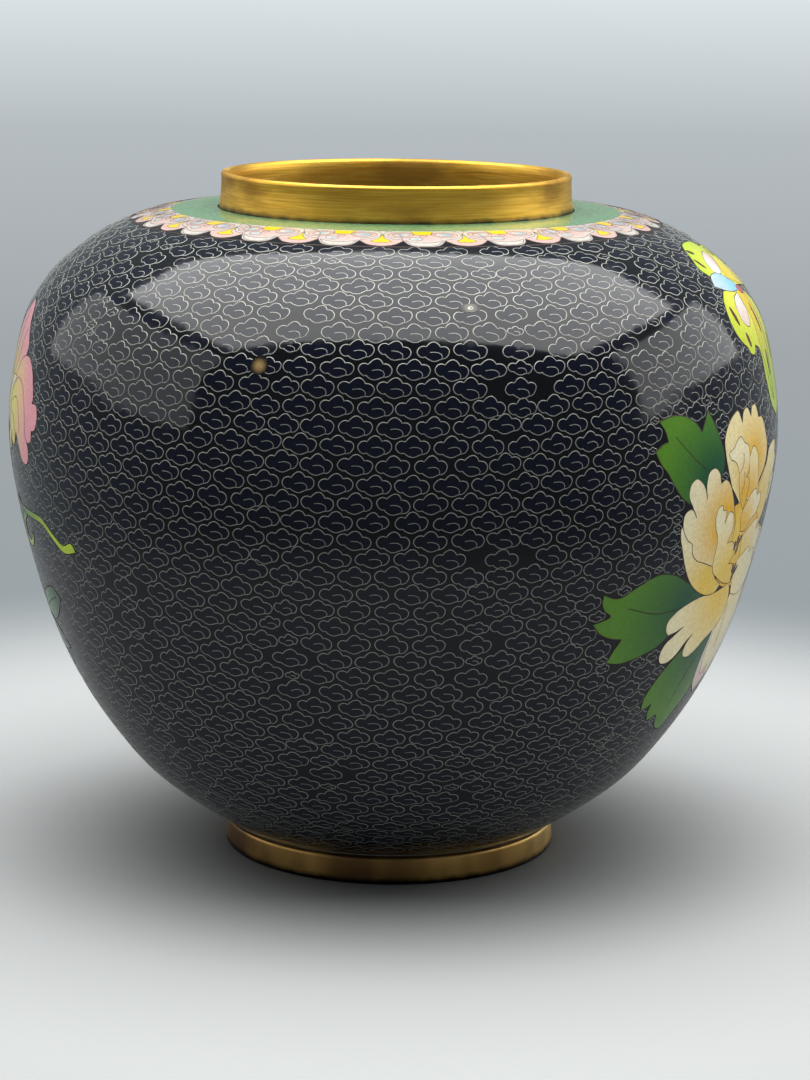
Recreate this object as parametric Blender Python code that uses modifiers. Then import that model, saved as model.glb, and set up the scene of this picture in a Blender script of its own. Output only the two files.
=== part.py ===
"""Cloisonne vase: a spun copper jar with a gilt brass collar and foot, its outside covered with
a dark enamel ground that has flowers, leaves and a butterfly set into it as separate enamel
fields, and its inside and underside covered with turquoise counter-enamel.

Lengths named in capitals are in millimetres and angles in degrees. Azimuth 0 faces -Y, and a
positive azimuth turns towards +X. Z is up, and the foot stands on z = 0.
"""

import math

import bmesh
import bpy
from mathutils import Vector

MM = 0.001
SEGMENTS = 32
GAP = 0.3

# Outer enamel surface, (radius, height), from the foot up to the collar.
BODY_STATIONS = (
    (52.0, 9.0),
    (78.5, 28.6),
    (100.2, 59.2),
    (113.2, 94.7),
    (120.0, 134.4),
    (113.5, 171.9),
    (98.0, 190.2),
    (82.3, 199.0),
    (69.5, 202.1),
    (55.3, 202.7),
)
STEPS_BETWEEN_STATIONS = 2
SEAM_STATION = 4
LAPPET_STATION = 7
NECK_STATION = 8

ENAMEL = 1.0
COPPER = 1.4
COUNTER_ENAMEL = 0.6
COPPER_DEPTH = ENAMEL + GAP
COUNTER_DEPTH = COPPER_DEPTH + COPPER + GAP
WIRE_WIDTH = 0.5

HEIGHT = 213.7
COLLAR_FOOT_RADIUS = 55.0
COLLAR_LIP_RADIUS = 54.0
COLLAR_BORE = 51.6
COLLAR_SEAT = 201.7

FOOT_RADIUS = 52.5
FOOT_TOP = 8.7
FOOT_WALL = 3.2
FOOT_RIM_TOP = 9.8
LEDGE_BORE = 46.3
LEDGE_LOW = 3.5
LEDGE_TOP = 5.0
PLATE = 1.4

CUTTER_INNER = 75.0
CUTTER_OUTER = 135.0

COLOURS = {
    "gilt_brass": ((0.72, 0.46, 0.12), 0.32, 1.0),
    "aged_brass": ((0.42, 0.27, 0.09), 0.38, 1.0),
    "copper": ((0.72, 0.36, 0.22), 0.35, 1.0),
    "wire": ((0.62, 0.52, 0.36), 0.40, 1.0),
    "ground": ((0.010, 0.012, 0.022), 0.08, 0.0),
    "mint": ((0.33, 0.52, 0.34), 0.12, 0.0),
    "lappet": ((0.86, 0.70, 0.55), 0.12, 0.0),
    "turquoise": ((0.05, 0.42, 0.50), 0.18, 0.0),
    "cream": ((0.86, 0.72, 0.40), 0.10, 0.0),
    "amber": ((0.72, 0.42, 0.10), 0.10, 0.0),
    "pink": ((0.80, 0.45, 0.42), 0.10, 0.0),
    "lilac": ((0.52, 0.38, 0.62), 0.10, 0.0),
    "leaf": ((0.22, 0.42, 0.12), 0.10, 0.0),
    "teal": ((0.05, 0.30, 0.24), 0.10, 0.0),
    "lime": ((0.50, 0.62, 0.16), 0.10, 0.0),
    "sky": ((0.32, 0.55, 0.75), 0.10, 0.0),
}

# name, outline, azimuth, height, length, width, tilt, colour
MOTIFS = (
    ("cream_peony_upper", "bloom", 62, 125, 72, 50, 8, "cream"),
    ("cream_peony_lower", "bloom", 64, 79, 58, 33, -10, "amber"),
    ("cream_peony_leaf_upper", "leaf", 38, 145, 30, 13, 60, "leaf"),
    ("cream_peony_leaf_middle", "leaf", 35, 94, 30, 15, 28, "leaf"),
    ("cream_peony_leaf_lower", "leaf", 51, 53, 30, 11, -38, "leaf"),
    ("butterfly_forewing", "leaf", 56, 178, 34, 17, -14, "lime"),
    ("butterfly_hindwing", "leaf", 77, 158, 34, 15, -58, "lime"),
    ("butterfly_body", "leaf", 75, 182, 20, 6, -26, "sky"),
    ("pink_peony", "bloom", -86, 151, 80, 48, 0, "pink"),
    ("pink_peony_leaf", "leaf", -73, 79, 32, 13, 68, "teal"),
    ("pink_peony_tendril", "leaf", -65, 110, 26, 7, -30, "lime"),
    ("pink_peony_bud", "bloom", -104, 98, 24, 22, 0, "pink"),
    ("lilac_peony", "bloom", 158, 120, 78, 68, 0, "lilac"),
    ("lilac_peony_leaf_left", "leaf", 119, 114, 36, 14, 40, "leaf"),
    ("lilac_peony_leaf_right", "leaf", 199, 108, 38, 15, -42, "teal"),
    ("lilac_peony_leaf_lower", "leaf", 158, 64, 44, 14, 6, "leaf"),
    ("lilac_peony_bud", "bloom", 212, 156, 26, 24, 0, "lilac"),
)


def clear_scene():
    for item in list(bpy.data.objects):
        bpy.data.objects.remove(item, do_unlink=True)


def new_collection(name):
    collection = bpy.data.collections.new(name)
    bpy.context.scene.collection.children.link(collection)
    return collection


def enamel_or_metal(colour_name):
    """The Principled material of one entry of COLOURS, made once."""
    if colour_name in bpy.data.materials:
        return bpy.data.materials[colour_name]
    colour, roughness, metallic = COLOURS[colour_name]
    material = bpy.data.materials.new(colour_name)
    material.use_nodes = True
    shader = material.node_tree.nodes["Principled BSDF"]
    shader.inputs["Base Color"].default_value = (*colour, 1.0)
    shader.inputs["Roughness"].default_value = roughness
    shader.inputs["Metallic"].default_value = metallic
    material.diffuse_color = (*colour, 1.0)
    return material


# The body's outline and slices of it -------------------------------------------------------------


def catmull_rom(points, steps):
    """A smooth run through the points, with steps spans between each two of them."""
    first = points[0] * 2 - points[1]
    last = points[-1] * 2 - points[-2]
    row = [first, *points, last]
    curve = []
    for a, b, c, d in zip(row, row[1:], row[2:], row[3:]):
        for step in range(steps):
            t = step / steps
            curve.append(
                0.5 * (2 * b + (c - a) * t + (2 * a - 5 * b + 4 * c - d) * t**2
                       + (3 * b - a - 3 * c + d) * t**3)
            )
    curve.append(points[-1])
    return curve


def outward_normals(curve):
    """Unit normals of an outline that climbs with the body on its left."""
    normals = []
    for index in range(len(curve)):
        before = curve[max(index - 1, 0)]
        after = curve[min(index + 1, len(curve) - 1)]
        tangent = (after - before).normalized()
        normals.append(Vector((tangent.y, -tangent.x)))
    return normals


def running_length(curve):
    total = [0.0]
    for a, b in zip(curve, curve[1:]):
        total.append(total[-1] + (b - a).length)
    return total


BODY = catmull_rom([Vector(station) for station in BODY_STATIONS], STEPS_BETWEEN_STATIONS)
BODY_NORMALS = outward_normals(BODY)
BODY_ARC = running_length(BODY)
SEAM_ARC = BODY_ARC[SEAM_STATION * STEPS_BETWEEN_STATIONS]
LAPPET_ARC = BODY_ARC[LAPPET_STATION * STEPS_BETWEEN_STATIONS]
NECK_ARC = BODY_ARC[NECK_STATION * STEPS_BETWEEN_STATIONS]
TOP_ARC = BODY_ARC[-1]


def at_arc(arc):
    """Point and normal of the outline at a length along it, straight between its points."""
    index = 0
    while index < len(BODY) - 2 and BODY_ARC[index + 1] <= arc:
        index += 1
    share = (arc - BODY_ARC[index]) / (BODY_ARC[index + 1] - BODY_ARC[index])
    point = BODY[index].lerp(BODY[index + 1], share)
    normal = BODY_NORMALS[index].lerp(BODY_NORMALS[index + 1], share)
    return point, normal


def body_slice(low, high, depth):
    """The outline between two lengths along it, sunk by depth, from the low end to the high."""
    inside = [arc for arc in BODY_ARC if low + 0.01 < arc < high - 0.01]
    return [point - normal * depth for point, normal in map(at_arc, [low, *inside, high])]


def skin_profile(low, high, outer_depth, thickness):
    """A closed section: down the outer side, then up the inner side."""
    outer = body_slice(low, high, outer_depth)
    inner = body_slice(low, high, outer_depth + thickness)
    return outer[::-1] + inner


def body_radius(height):
    """Radius of the enamel surface at a height."""
    for a, b in zip(BODY, BODY[1:]):
        if a.y <= height <= b.y:
            return a.x + (b.x - a.x) * (height - a.y) / (b.y - a.y)
    return BODY[-1].x


# Turned pieces -----------------------------------------------------------------------------------


def turned(name, profile, colour_name, collection):
    """A solid of revolution from a closed section, given as (radius, height) points."""
    mesh = bpy.data.meshes.new(name)
    points = [(point[0] * MM, 0.0, point[1] * MM) for point in profile]
    edges = []
    for index in range(len(points)):
        following = (index + 1) % len(points)
        on_axis = profile[index][0] == 0 and profile[following][0] == 0
        if not on_axis:
            edges.append((index, following))
    mesh.from_pydata(points, edges, [])
    piece = bpy.data.objects.new(name, mesh)
    collection.objects.link(piece)
    screw = piece.modifiers.new("Turn", "SCREW")
    screw.axis = "Z"
    screw.steps = SEGMENTS
    screw.render_steps = SEGMENTS
    screw.use_merge_vertices = True
    screw.merge_threshold = 0.00001
    screw.use_smooth_shade = True
    mesh.materials.append(enamel_or_metal(colour_name))
    return piece


def neck_collar(collection):
    """Plain brass strip bent to a ring, a little wider at its foot, with a rounded lip."""
    profile = (
        (COLLAR_BORE + 0.5, HEIGHT),
        (COLLAR_LIP_RADIUS - 0.5, HEIGHT),
        (COLLAR_LIP_RADIUS, HEIGHT - 0.6),
        (COLLAR_LIP_RADIUS + 0.15, HEIGHT - 5.0),
        (COLLAR_FOOT_RADIUS, COLLAR_SEAT + 0.8),
        (COLLAR_FOOT_RADIUS, COLLAR_SEAT),
        (COLLAR_BORE + 0.4, COLLAR_SEAT),
        (COLLAR_BORE, HEIGHT - 5.0),
        (COLLAR_BORE, HEIGHT - 0.6),
    )
    turned("neck_collar", profile, "gilt_brass", collection)


def copper_body(collection):
    """Two spun copper shells that meet at the widest part of the body."""
    profile = skin_profile(SEAM_ARC + GAP / 2, TOP_ARC, COPPER_DEPTH, COPPER)
    seat_outer = (COLLAR_BORE + 0.4, profile[0].y)
    seat_inner = (COLLAR_BORE + 0.4, profile[-1].y)
    turned("copper_shoulder", [seat_outer, *profile, seat_inner], "copper", collection)
    bowl = skin_profile(0.0, SEAM_ARC - GAP / 2, COPPER_DEPTH, COPPER)
    turned("copper_bowl", bowl, "copper", collection)


def foot_ring(collection):
    """Brass ring with a rebated top that holds the bowl, and a ledge that carries the base."""
    inner = FOOT_RADIUS - FOOT_WALL
    rim = FOOT_RADIUS - 1.5
    profile = (
        (inner - 0.2, FOOT_RIM_TOP),
        (rim, FOOT_RIM_TOP),
        (rim, FOOT_TOP),
        (FOOT_RADIUS - 0.4, FOOT_TOP),
        (FOOT_RADIUS, FOOT_TOP - 0.5),
        (FOOT_RADIUS, 1.0),
        (FOOT_RADIUS - 0.3, 0.3),
        (FOOT_RADIUS - 1.0, 0.0),
        (inner + 0.4, 0.0),
        (inner, 0.4),
        (inner, LEDGE_LOW),
        (LEDGE_BORE, LEDGE_LOW),
        (LEDGE_BORE, LEDGE_TOP),
        (inner - 0.2, LEDGE_TOP),
    )
    turned("foot_ring", profile, "aged_brass", collection)


def base_plate(collection):
    """Copper disc that closes the body, lying on the foot ring's ledge."""
    low = LEDGE_TOP + GAP
    edge = FOOT_RADIUS - FOOT_WALL - 0.2 - GAP
    profile = ((0.0, low + PLATE), (edge, low + PLATE), (edge, low), (0.0, low))
    turned("base_plate", profile, "copper", collection)


def base_enamel(collection):
    """Counter-enamel under the base plate, inside the ledge."""
    edge = LEDGE_BORE - GAP
    low = LEDGE_TOP - COUNTER_ENAMEL
    profile = ((0.0, LEDGE_TOP), (edge, LEDGE_TOP), (edge, low), (0.0, low))
    turned("base_enamel", profile, "turquoise", collection)


def interior_enamel(collection):
    """Counter-enamel on the inside, in one skin from the collar down to and over the base."""
    floor = LEDGE_TOP + GAP + PLATE + GAP
    wall = FOOT_RADIUS - FOOT_WALL - 0.2 - GAP
    outer = body_slice(0.0, TOP_ARC, COUNTER_DEPTH)
    inner = body_slice(0.0, TOP_ARC, COUNTER_DEPTH + COUNTER_ENAMEL)
    rim = COLLAR_BORE + 0.4
    heel = Vector((wall, outer[0].y - 1.4))
    profile = [
        (rim, outer[-1].y),
        *outer[::-1],
        heel,
        (wall, floor),
        (0.0, floor),
        (0.0, floor + COUNTER_ENAMEL),
        (wall - COUNTER_ENAMEL, floor + COUNTER_ENAMEL),
        (wall - COUNTER_ENAMEL, heel.y + 0.4),
        *inner,
        (rim, inner[-1].y),
    ]
    turned("interior_enamel", profile, "turquoise", collection)


def ground_profile():
    low = WIRE_WIDTH + GAP
    high = LAPPET_ARC - WIRE_WIDTH / 2 - GAP
    return skin_profile(low, high, 0.0, ENAMEL)


def border_bands(collection):
    """Two plain enamel bands round the neck and the three wires that fence them and the ground."""
    fence = WIRE_WIDTH / 2
    lappet = skin_profile(LAPPET_ARC + fence + GAP, NECK_ARC - fence - GAP, 0.0, ENAMEL)
    turned("lappet_band_enamel", lappet, "lappet", collection)
    neck = skin_profile(NECK_ARC + fence + GAP, TOP_ARC, 0.0, ENAMEL)
    turned("neck_band_enamel", neck, "mint", collection)
    for name, middle in (("foot_wire", fence), ("lappet_wire", LAPPET_ARC), ("neck_wire", NECK_ARC)):
        wire = skin_profile(middle - fence, middle + fence, 0.0, ENAMEL)
        turned(name, wire, "wire", collection)


# Inlaid enamel fields ----------------------------------------------------------------------------


def bloom_outline(length, width):
    """A peony's outer edge: petals bulge out of an ellipse, with a notch between each two."""
    petals = 8
    points_per_petal = 4
    count = petals * points_per_petal
    outline = []
    for index in range(count):
        angle = 2 * math.pi * index / count
        bulge = 0.86 + 0.14 * abs(math.sin(petals * angle / 2)) ** 0.7
        outline.append(Vector((length / 2 * bulge * math.cos(angle), width / 2 * bulge * math.sin(angle))))
    return outline


def leaf_outline(length, width):
    """A leaf or wing with a blunt base and a drawn-out tip, along +X."""
    count = 7
    upper = []
    for index in range(1, count):
        share = index / count
        half_width = width / 2 * math.sin(math.pi * share**0.8)
        upper.append(Vector((length * (share - 0.5), half_width)))
    lower = [Vector((point.x, -point.y)) for point in upper]
    return [Vector((length / 2, 0.0)), *upper[::-1], Vector((-length / 2, 0.0)), *lower]


OUTLINES = {"bloom": bloom_outline, "leaf": leaf_outline}


def inset(outline, distance):
    """The same counterclockwise outline with every side moved in by distance."""
    moved = []
    for index, point in enumerate(outline):
        before = (point - outline[index - 1]).normalized()
        after = (outline[(index + 1) % len(outline)] - point).normalized()
        bisector = Vector((-before.y - after.y, before.x + after.x)).normalized()
        slant = max(bisector.dot(Vector((-before.y, before.x))), 0.4)
        moved.append(point + bisector * (distance / slant))
    return moved


def flat_plate(name, outline):
    """A filled 2D curve with a thickness, made a welded mesh. Its z runs from -1 to 1 mm."""
    curve = bpy.data.curves.new(name, "CURVE")
    curve.dimensions = "2D"
    curve.fill_mode = "BOTH"
    curve.extrude = MM
    spline = curve.splines.new("POLY")
    spline.points.add(len(outline) - 1)
    for slot, point in zip(spline.points, outline):
        slot.co = (point.x * MM, point.y * MM, 0.0, 1.0)
    spline.use_cyclic_u = True
    guide = bpy.data.objects.new(name + "_guide", curve)
    bpy.context.scene.collection.objects.link(guide)
    graph = bpy.context.evaluated_depsgraph_get()
    mesh = bpy.data.meshes.new_from_object(guide.evaluated_get(graph))
    bpy.data.objects.remove(guide, do_unlink=True)
    return mesh


def wrap_round_body(mesh, azimuth, height, tilt):
    """Turns a flat plate into a radial plug: x goes round the axis, y up it and z outwards."""
    radius = body_radius(height)
    turn = math.radians(tilt)
    shape = bmesh.new()
    shape.from_mesh(mesh)
    bmesh.ops.remove_doubles(shape, verts=shape.verts, dist=0.00001)
    bmesh.ops.recalc_face_normals(shape, faces=shape.faces)
    bmesh.ops.triangulate(shape, faces=shape.faces, quad_method="FIXED")
    for vertex in shape.verts:
        across = vertex.co.x * math.cos(turn) - vertex.co.y * math.sin(turn)
        up = vertex.co.x * math.sin(turn) + vertex.co.y * math.cos(turn)
        angle = math.radians(azimuth) + across / (radius * MM)
        reach = (CUTTER_OUTER if vertex.co.z > 0 else CUTTER_INNER) * MM
        vertex.co = (reach * math.sin(angle), -reach * math.cos(angle), height * MM + up)
    shape.to_mesh(mesh)
    shape.free()


def radial_cutter(name, motif, margin, collection):
    """The plug of one motif, moved in by margin."""
    _, kind, azimuth, height, length, width, tilt, _ = motif
    outline = OUTLINES[kind](length, width)
    mesh = flat_plate(name, inset(outline, margin))
    wrap_round_body(mesh, azimuth, height, tilt)
    cutter = bpy.data.objects.new(name, mesh)
    cutter.hide_render = True
    cutter.display_type = "WIRE"
    collection.objects.link(cutter)
    return cutter


def cut(piece, operation):
    boolean = piece.modifiers.new(operation.title(), "BOOLEAN")
    boolean.operation = operation
    boolean.solver = "EXACT"
    return boolean


def inlaid_fields(collection, cutters):
    """Each motif is the part of the ground's skin inside its own outline."""
    for motif in MOTIFS:
        name, colour_name = motif[0], motif[-1]
        field = turned(name, ground_profile(), colour_name, collection)
        plug = radial_cutter(name + "_plug", motif, GAP, cutters)
        cut(field, "INTERSECT").object = plug


def ground_enamel(collection, pockets):
    """The dark ground, with a pocket right through it for every motif."""
    ground = turned("ground_enamel", ground_profile(), "ground", collection)
    for motif in MOTIFS:
        radial_cutter(motif[0] + "_pocket", motif, 0.0, pockets)
    difference = cut(ground, "DIFFERENCE")
    difference.operand_type = "COLLECTION"
    difference.collection = pockets


def main():
    clear_scene()
    vase = new_collection("cloisonne_vase")
    cutters = new_collection("cutters")
    pockets = new_collection("pocket_cutters")
    neck_collar(vase)
    copper_body(vase)
    foot_ring(vase)
    base_plate(vase)
    base_enamel(vase)
    interior_enamel(vase)
    border_bands(vase)
    inlaid_fields(vase, cutters)
    ground_enamel(vase, pockets)


main()
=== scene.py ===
"""Looks of the cloisonne vase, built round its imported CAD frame.

The body's outline is read from the CAD's enamel, so every wire and colour field lies on that
surface. A place on it is an azimuth (0 faces -Y, and it grows towards +X) and an arc, the length
along the outline from the foot up to the collar. Lengths are in millimetres and azimuths in degrees,
unless a comment says otherwise. The materials, the stage and the camera are in metres.
"""
import math

import bpy
import numpy as np
from mathutils import Matrix, Vector
from mathutils.geometry import delaunay_2d_cdt

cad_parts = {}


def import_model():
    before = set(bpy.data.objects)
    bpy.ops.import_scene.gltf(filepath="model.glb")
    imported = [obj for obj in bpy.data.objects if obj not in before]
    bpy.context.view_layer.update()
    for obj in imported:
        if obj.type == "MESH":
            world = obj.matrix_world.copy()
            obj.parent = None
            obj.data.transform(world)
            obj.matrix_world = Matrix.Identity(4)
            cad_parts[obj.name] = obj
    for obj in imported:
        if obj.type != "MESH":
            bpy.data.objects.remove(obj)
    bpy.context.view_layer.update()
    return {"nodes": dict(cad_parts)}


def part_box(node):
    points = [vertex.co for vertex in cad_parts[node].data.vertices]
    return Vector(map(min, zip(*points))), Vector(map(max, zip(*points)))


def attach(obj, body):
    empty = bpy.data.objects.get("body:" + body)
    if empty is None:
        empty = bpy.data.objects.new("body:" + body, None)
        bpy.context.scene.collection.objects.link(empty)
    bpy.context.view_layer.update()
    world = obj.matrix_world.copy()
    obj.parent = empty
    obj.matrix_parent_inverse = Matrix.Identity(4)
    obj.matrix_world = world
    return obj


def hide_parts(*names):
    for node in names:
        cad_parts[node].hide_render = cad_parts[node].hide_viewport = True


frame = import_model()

MM = 0.001
TURNS = 256

# The body and its bands
MIDDLE_HEIGHT = 110.0
GROUND_SINK = 0.03
SHEET_LIFT = 0.05
OUTLINE_WIRE = 0.52
BORDER_WIRE = 0.55
INTERIOR_DEPTH = 3.6

# The cloud pattern of the ground
CLOUD_WIRE = 0.34
CLOUD_PITCH = 10.6
CLOUD_ROW = 5.3
CLOUD_WIDTH = 9.3
CLOUD_HEIGHT = 5.9
SMALLEST_CLOUD = 0.33
GORES = 12
SEAM_WANDER = 5.0
LEAST_SPARE = 2.6
FIRST_ROW_ARC = 6.5
LAST_ROW_MARGIN = 3.0
SPOT_SPACING = 0.9
MOTIF_REACH = 110.0
SECTORS = 8
WIRE_RISE = 0.05

# How far the clouds are from alike: standard deviations of tilt (radians), size, stretch and place
CLOUD_TILT = 0.06
CLOUD_SIZE = 0.02
CLOUD_STRETCH = 0.025
CLOUD_NUDGE = 0.13
CLOUD_WOBBLE = 0.08

# The lappet band. A lappet and the lobe beside it are drawn 24 wide and 13 high, then scaled.
LAPPETS = 20
LAPPET_DRAWN_WIDTH = 24.0
LAPPET_DRAWN_HEIGHT = 13.0
LAPPET_WIRE = 0.40
BORDER_OFFSET = 0.55

# The metal and the inside
COLLAR_BORE = 51.6
FOOT_WALL = 3.2
LEDGE_REACH = 3.0
LEDGE_LOW, LEDGE_TOP = 3.5, 5.0
FOOT_TOP, FOOT_RIM_TOP = 8.7, 9.8
INSIDE_FLOOR = 7.6
AXIS_HOLE = 0.05

# The stage, in metres and watts
FLOOR_RADIUS = 0.45
FLOOR_FADE = (0.20, 0.40)
# Within this distance of the axis the floor is painted darker, a painted contact shadow.
FLOOR_PAINTED_SHADOW = (0.05, 0.15)

# Colours, linear
PAINTS = {
    "black": (0.003, 0.004, 0.006),
    "navy": (0.003, 0.005, 0.014),
    "cream": (0.93, 0.79, 0.41),
    "ivory": (0.95, 0.85, 0.54),
    "amber": (0.86, 0.48, 0.02),
    "gold": (0.88, 0.60, 0.09),
    "leaf_tip": (0.10, 0.26, 0.02),
    "leaf_deep": (0.009, 0.085, 0.03),
    "lime": (0.50, 0.68, 0.02),
    "lemon": (0.88, 0.84, 0.08),
    "yellow": (0.90, 0.66, 0.02),
    "brown": (0.12, 0.03, 0.012),
    "plum": (0.13, 0.04, 0.08),
    "blush": (0.87, 0.66, 0.60),
    "pink": (0.84, 0.36, 0.40),
    "rose": (0.55, 0.10, 0.14),
    "sky": (0.30, 0.66, 0.85),
    "pale_blue": (0.52, 0.68, 0.76),
    "white": (0.88, 0.86, 0.80),
    "lilac": (0.36, 0.20, 0.52),
    "pearl": (0.56, 0.53, 0.47),
    "shell": (0.60, 0.40, 0.35),
    "mist": (0.27, 0.39, 0.45),
    "mustard": (0.72, 0.52, 0.02),
    "worn": (0.22, 0.20, 0.15),
    "rust": (0.38, 0.25, 0.10),
}


# Curves ------------------------------------------------------------------------------------------


def smooth_curve(points, step):
    """Points every step along a smooth curve through the given points, ends included."""
    points = np.array(points, float)
    gaps = np.linalg.norm(np.diff(points, axis=0), axis=1)
    at = np.concatenate([[0.0], np.cumsum(gaps)])
    slope = np.gradient(points, at, axis=0)
    t = np.linspace(0.0, at[-1], max(int(at[-1] / step), 1) + 1)
    i = np.clip(np.searchsorted(at, t, "right") - 1, 0, len(gaps) - 1)
    gap = gaps[i][:, None]
    u = (t - at[i])[:, None] / gap
    from_start = (2 * u**3 - 3 * u**2 + 1) * points[i] + (u**3 - 2 * u**2 + u) * gap * slope[i]
    to_end = (3 * u**2 - 2 * u**3) * points[i + 1] + (u**3 - u**2) * gap * slope[i + 1]
    return from_start + to_end


def closed_outline(runs, step=0.8):
    """A closed outline from runs of points. Each run starts at a corner and is smooth up to the next."""
    pieces = []
    for index, run in enumerate(runs):
        following = runs[(index + 1) % len(runs)][0]
        whole = run if run[-1] == following else [*run, following]
        pieces.append(smooth_curve(whole, step)[:-1])
    return np.vstack(pieces)


def placed(flat, origin, tilt):
    """Flat points turned counterclockwise by tilt degrees and moved to an origin."""
    turn = math.radians(tilt)
    x, y = np.array(flat, float).T
    across = origin[0] + x * math.cos(turn) - y * math.sin(turn)
    along = origin[1] + x * math.sin(turn) + y * math.cos(turn)
    return np.stack([across, along], 1)


def ellipse(centre, half_length, half_width, tilt=0.0, count=20):
    angle = np.arange(count) * 2 * math.pi / count
    flat = np.stack([half_length * np.cos(angle), half_width * np.sin(angle)], 1)
    return placed(flat, centre, tilt)


def half_turn(angle):
    """An angle in radians, carried into the range from -pi to pi."""
    return (angle + math.pi) % (2 * math.pi) - math.pi


def running_length(points):
    return np.concatenate([[0.0], np.cumsum(np.linalg.norm(np.diff(points, axis=0), axis=1))])


def inside(points, outline):
    """Which of the points lie inside a closed outline."""
    x, y = points[:, 0][:, None], points[:, 1][:, None]
    x1, y1 = outline[:, 0], outline[:, 1]
    x2, y2 = np.roll(x1, -1), np.roll(y1, -1)
    spans = (y1 > y) != (y2 > y)
    rise = np.where(y2 == y1, 1.0, y2 - y1)
    crossing = x < x1 + (y - y1) * (x2 - x1) / rise
    return (spans & crossing).sum(axis=1) % 2 == 1


# The body's surface ------------------------------------------------------------------------------


def enamel_outline(names, spacing):
    """(radius, height) up the outer enamel, from the CAD's vertices on the -Y side."""
    found = set()
    middle = Vector((0.0, MIDDLE_HEIGHT * MM))
    for name in names:
        mesh = frame["nodes"][name].data
        for face in mesh.polygons:
            radius = math.hypot(face.center.x, face.center.y)
            outward = (Vector((radius, face.center.z)) - middle).normalized()
            radial = (face.normal.x * face.center.x + face.normal.y * face.center.y) / max(radius, MM)
            if Vector((radial, face.normal.z)).dot(outward) < 0.5:
                continue
            for index in face.vertices:
                corner = mesh.vertices[index].co
                if abs(corner.x) < 0.01 * MM and corner.y < 0:
                    found.add((round(-corner.y / MM, 2), round(corner.z / MM, 2)))
    ordered = sorted(found, key=lambda point: math.atan2(point[1] - MIDDLE_HEIGHT, point[0]))
    kept = [ordered[0]]
    for point in ordered[1:-1]:
        if math.dist(point, kept[-1]) > spacing and math.dist(point, ordered[-1]) > spacing:
            kept.append(point)
    return [*kept, ordered[-1]]


BODY = smooth_curve(
    enamel_outline(["ground_enamel", "lappet_band_enamel", "neck_band_enamel"], 4.0), 0.5
)
ARC = running_length(BODY)
TANGENT = np.gradient(BODY, ARC, axis=0)
TANGENT /= np.linalg.norm(TANGENT, axis=1)[:, None]


def radius_at(arc):
    return np.interp(arc, ARC, BODY[:, 0])


def arc_at(height):
    return float(np.interp(height, BODY[:, 1], ARC))


def outline_at(arc, lift=0.0):
    """(radius, height) at an arc, moved out along the surface's normal by lift."""
    radius = np.interp(arc, ARC, BODY[:, 0]) + np.interp(arc, ARC, TANGENT[:, 1]) * lift
    height = np.interp(arc, ARC, BODY[:, 1]) - np.interp(arc, ARC, TANGENT[:, 0]) * lift
    return radius, height


def on_body(azimuth, arc, lift=0.0):
    """Points of the surface, in metres. The azimuth is in radians here."""
    radius, height = outline_at(arc, lift)
    return np.stack([radius * np.sin(azimuth), -radius * np.cos(azimuth), height], -1) * MM


def top_arc(name):
    """The arc at which a CAD band ends, from its box."""
    return arc_at(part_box(name)[1].z / MM)


# Meshes ------------------------------------------------------------------------------------------


def add_piece(name, points, faces, material, replaced=()):
    """A smooth-shaded mesh in the frame, riding on the vase."""
    mesh = bpy.data.meshes.new(name)
    mesh.from_pydata(points, [], faces)
    mesh.polygons.foreach_set("use_smooth", np.ones(len(mesh.polygons), bool))
    mesh.materials.append(material)
    piece = bpy.data.objects.new(name, mesh)
    bpy.context.scene.collection.objects.link(piece)
    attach(piece, "root")
    if replaced:
        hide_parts(*replaced)
    return piece


def strip_faces(rows, columns, closed_rows=False, closed_columns=False):
    """Quads between neighbouring points of a grid of rows by columns, as an array."""
    row = np.arange(rows if closed_rows else rows - 1)
    column = np.arange(columns if closed_columns else columns - 1)
    row, column = np.meshgrid(row, column, indexing="ij")
    next_row, next_column = (row + 1) % rows, (column + 1) % columns
    corners = (
        row * columns + column,
        row * columns + next_column,
        next_row * columns + next_column,
        next_row * columns + column,
    )
    return np.stack([corner.ravel() for corner in corners], 1)


def turned(name, profile, material, replaced=(), closed=False):
    """A surface of revolution of (radius, height) points. It faces right of the way that they run."""
    profile = np.array(profile, float)
    angle = np.arange(TURNS) * 2 * math.pi / TURNS
    radius, height = profile[:, 0][:, None], profile[:, 1][:, None]
    points = np.stack(
        [radius * np.sin(angle), -radius * np.cos(angle), height + 0 * angle], -1
    ).reshape(-1, 3) * MM
    faces = strip_faces(len(profile), TURNS, closed_rows=closed, closed_columns=True)
    return add_piece(name, points, faces, material, replaced)


# Materials ---------------------------------------------------------------------------------------


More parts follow.
